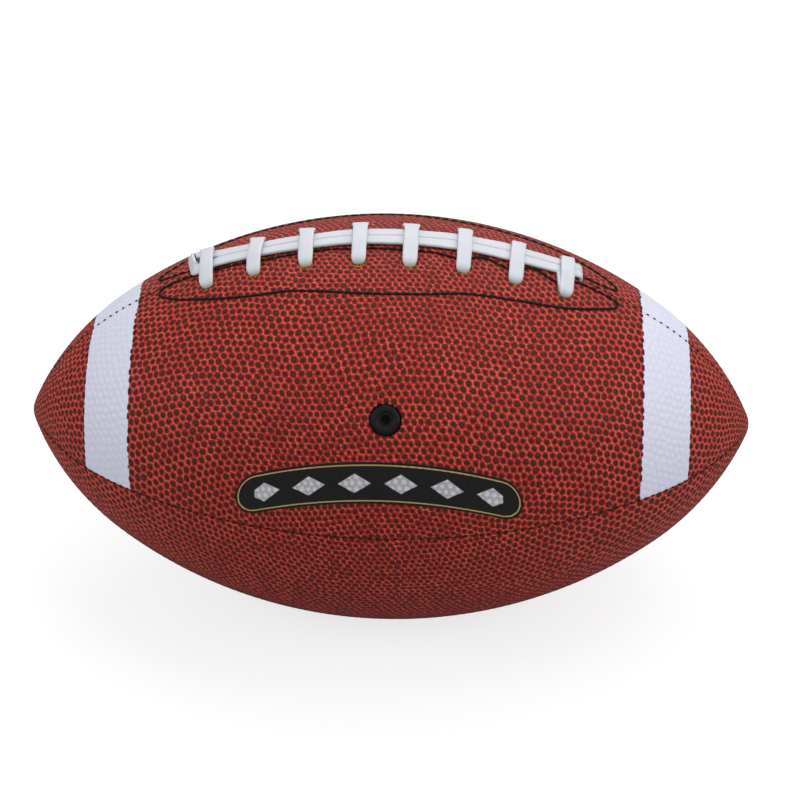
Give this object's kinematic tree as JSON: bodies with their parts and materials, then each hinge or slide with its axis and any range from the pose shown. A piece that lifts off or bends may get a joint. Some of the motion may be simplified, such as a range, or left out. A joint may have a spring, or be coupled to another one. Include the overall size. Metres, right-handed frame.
{
  "type": "american football",
  "caption": "Pointed oval ball with a sewn pebbled cover, white lace over a slit, white end stripes, stitched outline, lining, bladder and inflation valve.",
  "frame": {"origin": "centre of the ball, on its long axis halfway between the tips", "axes": "+X along the long axis, +Z out through the middle of the laces, -Y toward the side with the valve"},
  "size_m": [0.285, 0.161, 0.1656],
  "materials": {
    "cover_leather": "satin pebbled",
    "lining_cloth": "matte woven",
    "patch_leather": "matte",
    "lace_vinyl": "satin",
    "bladder_rubber": "matte",
    "valve_rubber": "satin",
    "thread": "matte waxed",
    "stripe_film": "satin pebbled"
  },
  "bodies": {
    "root": {"cover_top_front": "cover_leather", "cover_top_back": "cover_leather", "cover_bottom_front": "cover_leather", "cover_bottom_back": "cover_leather", "lining_top_front": "lining_cloth", "lining_top_back": "lining_cloth", "lining_bottom_front": "lining_cloth", "lining_bottom_back": "lining_cloth", "lace_patch_front": "patch_leather", "lace_patch_back": "patch_leather", "tongue": "patch_leather", "lace": "lace_vinyl", "bladder": "bladder_rubber", "bond_patch": "bladder_rubber", "valve_housing": "valve_rubber", "valve_core": "valve_rubber", "seam_thread_top": "thread", "seam_thread_front": "thread", "seam_thread_bottom": "thread", "seam_thread_back": "thread", "outline_stitch_front": "thread", "outline_stitch_back": "thread", "stripe_left_front": "stripe_film", "stripe_left_back": "stripe_film", "stripe_right_front": "stripe_film", "stripe_right_back": "stripe_film"}
  },
  "joints": []
}
